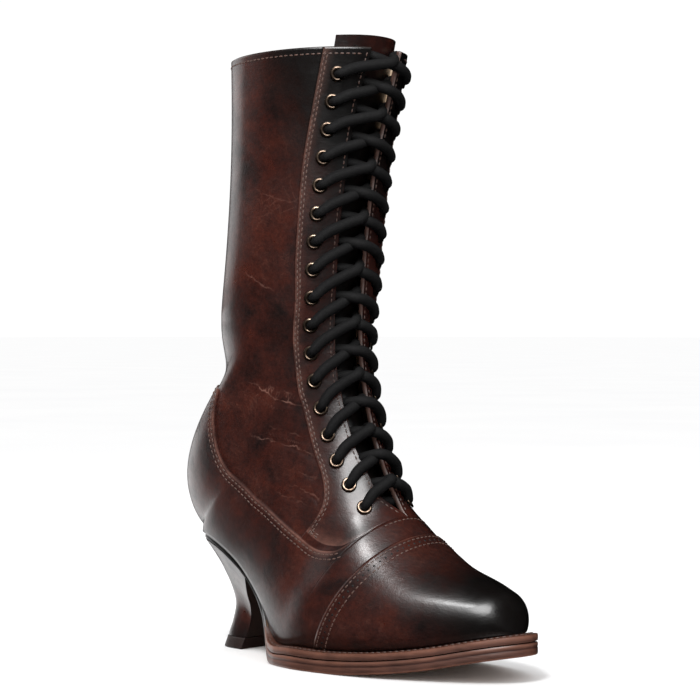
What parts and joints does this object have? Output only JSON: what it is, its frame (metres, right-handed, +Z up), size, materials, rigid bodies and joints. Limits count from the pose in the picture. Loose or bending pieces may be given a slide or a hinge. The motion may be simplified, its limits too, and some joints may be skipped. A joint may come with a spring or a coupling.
{
  "type": "lace-up boot",
  "caption": "Right-foot leather lace-up boot reaching mid-calf, with a capped toe, welted sole and a waisted, flared heel.",
  "frame": {"origin": "on the floor, under the heel's wearing piece", "axes": "+X from the heel to the toe, +Y to the inner (medial) side of the foot, +Z up"},
  "size_m": [0.2243, 0.0873, 0.3164],
  "materials": {
    "brown_leather": "burnished, semi-gloss",
    "tongue_leather": "satin",
    "insole_leather": "matt",
    "welt_leather": "waxed edge",
    "sole_leather": "waxed edge",
    "heel_leather": "burnished, semi-gloss",
    "lift_rubber": "matt",
    "black_cotton": "waxed braid",
    "bronze": "aged, dark"
  },
  "bodies": {
    "root": {"upper": "brown_leather", "tongue": "tongue_leather", "insole": "insole_leather", "welt": "welt_leather", "outsole": "sole_leather", "heel": "heel_leather", "heel_top_lift": "lift_rubber", "lace": "black_cotton", "eyelet_lateral_1": "bronze", "eyelet_lateral_2": "bronze", "eyelet_lateral_3": "bronze", "eyelet_lateral_4": "bronze", "eyelet_lateral_5": "bronze", "eyelet_lateral_6": "bronze", "eyelet_lateral_7": "bronze", "eyelet_lateral_8": "bronze", "eyelet_lateral_9": "bronze", "eyelet_lateral_10": "bronze", "eyelet_lateral_11": "bronze", "eyelet_lateral_12": "bronze", "eyelet_lateral_13": "bronze", "eyelet_lateral_14": "bronze", "eyelet_lateral_15": "bronze", "eyelet_lateral_16": "bronze", "eyelet_lateral_17": "bronze", "eyelet_medial_1": "bronze", "eyelet_medial_2": "bronze", "eyelet_medial_3": "bronze", "eyelet_medial_4": "bronze", "eyelet_medial_5": "bronze", "eyelet_medial_6": "bronze", "eyelet_medial_7": "bronze", "eyelet_medial_8": "bronze", "eyelet_medial_9": "bronze", "eyelet_medial_10": "bronze", "eyelet_medial_11": "bronze", "eyelet_medial_12": "bronze", "eyelet_medial_13": "bronze", "eyelet_medial_14": "bronze", "eyelet_medial_15": "bronze", "eyelet_medial_16": "bronze", "eyelet_medial_17": "bronze"}
  },
  "joints": []
}
